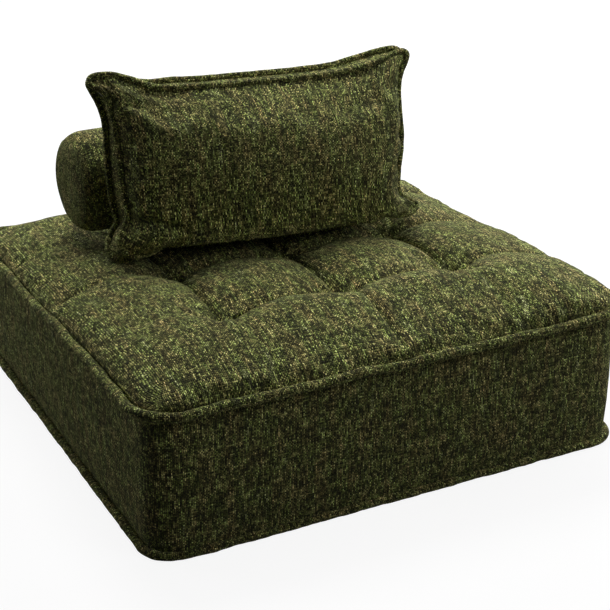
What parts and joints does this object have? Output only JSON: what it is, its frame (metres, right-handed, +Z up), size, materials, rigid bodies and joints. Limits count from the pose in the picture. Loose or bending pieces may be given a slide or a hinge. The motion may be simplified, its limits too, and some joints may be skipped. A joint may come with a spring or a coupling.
{
  "type": "modular sofa seat",
  "caption": "Square tufted modular sofa seat with rolled welts, a timber frame and webbed deck inside, a loose leaning pillow and a loose bolster roll.",
  "frame": {"origin": "on the floor under the middle of the square seat", "axes": "+Z up, +X to the right along the front edge, -Y towards a person who faces the pillow"},
  "size_m": [1.013, 1.013, 0.6701],
  "materials": {
    "timber": "matte",
    "steel": "satin",
    "webbing": "matte",
    "felt": "matte",
    "foam": "matte",
    "fibre": "matte",
    "cover_fabric": "matte",
    "side_fabric": "matte",
    "twine": "matte",
    "nylon": "satin",
    "dust_cloth": "matte",
    "zip_tape": "matte",
    "zip_chain": "satin",
    "zip_metal": "satin"
  },
  "bodies": {
    "seat_module": {"lower_rail_front": "timber", "lower_rail_back": "timber", "lower_rail_left": "timber", "lower_rail_right": "timber", "upper_rail_front": "timber", "upper_rail_back": "timber", "upper_rail_left": "timber", "upper_rail_right": "timber", "corner_posts": "timber", "middle_struts": "timber", "floor_stretcher": "timber", "frame_screws": "steel", "webbing_left_right": "webbing", "webbing_front_back": "webbing", "webbing_felt": "felt", "firm_foam": "foam", "soft_foam": "foam", "side_foam_front": "foam", "side_foam_back": "foam", "side_foam_left": "foam", "side_foam_right": "foam", "seat_cover_top": "cover_fabric", "seat_cover_sides": "side_fabric", "seat_welt_top": "cover_fabric", "seat_welt_bottom": "side_fabric", "tuft_ties": "twine", "tuft_anchor_bars": "nylon", "dust_cover": "dust_cloth", "glides": "nylon", "glide_screws": "steel"},
    "pillow": {"pillow_filling": "fibre", "pillow_front_panel": "cover_fabric", "pillow_back_panel": "cover_fabric", "pillow_gusset": "side_fabric", "pillow_front_welt": "side_fabric", "pillow_back_welt": "side_fabric", "pillow_zip_tape": "zip_tape", "pillow_zip_chain": "zip_chain"},
    "bolster": {"bolster_foam": "foam", "bolster_wrap": "cover_fabric", "bolster_end_left": "side_fabric", "bolster_end_right": "side_fabric", "bolster_zip_tape": "zip_tape", "bolster_zip_chain": "zip_chain"},
    "pillow_zip_runner": {"pillow_zip_slider": "zip_metal", "pillow_zip_pull": "zip_metal"},
    "bolster_zip_runner": {"bolster_zip_slider": "zip_metal", "bolster_zip_pull": "zip_metal"}
  },
  "joints": [
    {"name": "pillow_lift", "type": "slide", "parent": "seat_module", "child": "pillow", "axis": [0, 0, 1], "range_m": [0, 0.35]},
    {"name": "bolster_lift", "type": "slide", "parent": "seat_module", "child": "bolster", "axis": [0, 0.6, 0.8], "range_m": [0, 0.45]},
    {"name": "pillow_zip_slide", "type": "slide", "parent": "pillow", "child": "pillow_zip_runner", "axis": [0.9978, -0.0663, 0], "range_m": [0, 0.21]},
    {"name": "bolster_zip_slide", "type": "slide", "parent": "bolster", "child": "bolster_zip_runner", "axis": [1, 0, 0], "range_m": [0, 0.43]}
  ]
}
